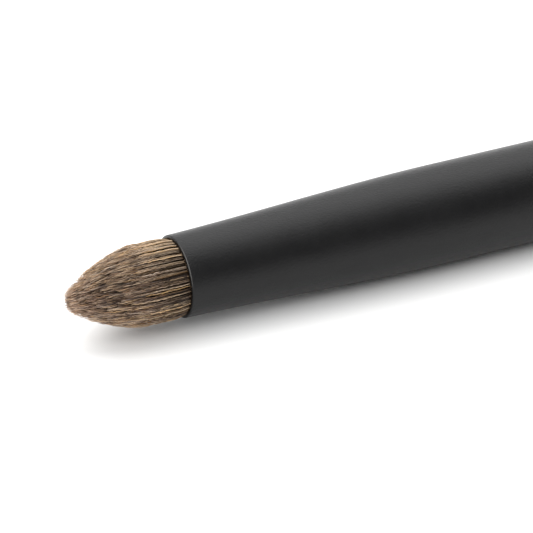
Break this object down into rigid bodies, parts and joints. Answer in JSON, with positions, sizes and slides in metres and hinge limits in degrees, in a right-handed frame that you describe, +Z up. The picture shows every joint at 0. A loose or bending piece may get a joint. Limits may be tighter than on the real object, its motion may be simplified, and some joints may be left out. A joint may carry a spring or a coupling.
{
  "type": "eyeshadow brush",
  "caption": "Fluffy domed eyeshadow brush with a round flared black ferrule and a slim tapered black handle.",
  "frame": {"origin": "middle of the brush's length, on the surface that it lies on", "axes": "+X along the brush toward the handle's tail, -X toward the hair's tip, +Z up from the surface that it lies on"},
  "size_m": [0.155, 0.0104, 0.0103],
  "materials": {
    "handle_lacquer": "matte black lacquer over wood",
    "ferrule_paint": "matte black",
    "hair": "natural hair, satin",
    "thread": "matte thread",
    "resin": "cured adhesive",
    "glue": "cured adhesive"
  },
  "bodies": {
    "root": {"handle": "handle_lacquer", "ferrule": "ferrule_paint", "hair_tuft": "hair", "hair_root": "hair", "binding_thread": "thread", "resin_plug": "resin", "tenon_glue": "glue"}
  },
  "joints": []
}
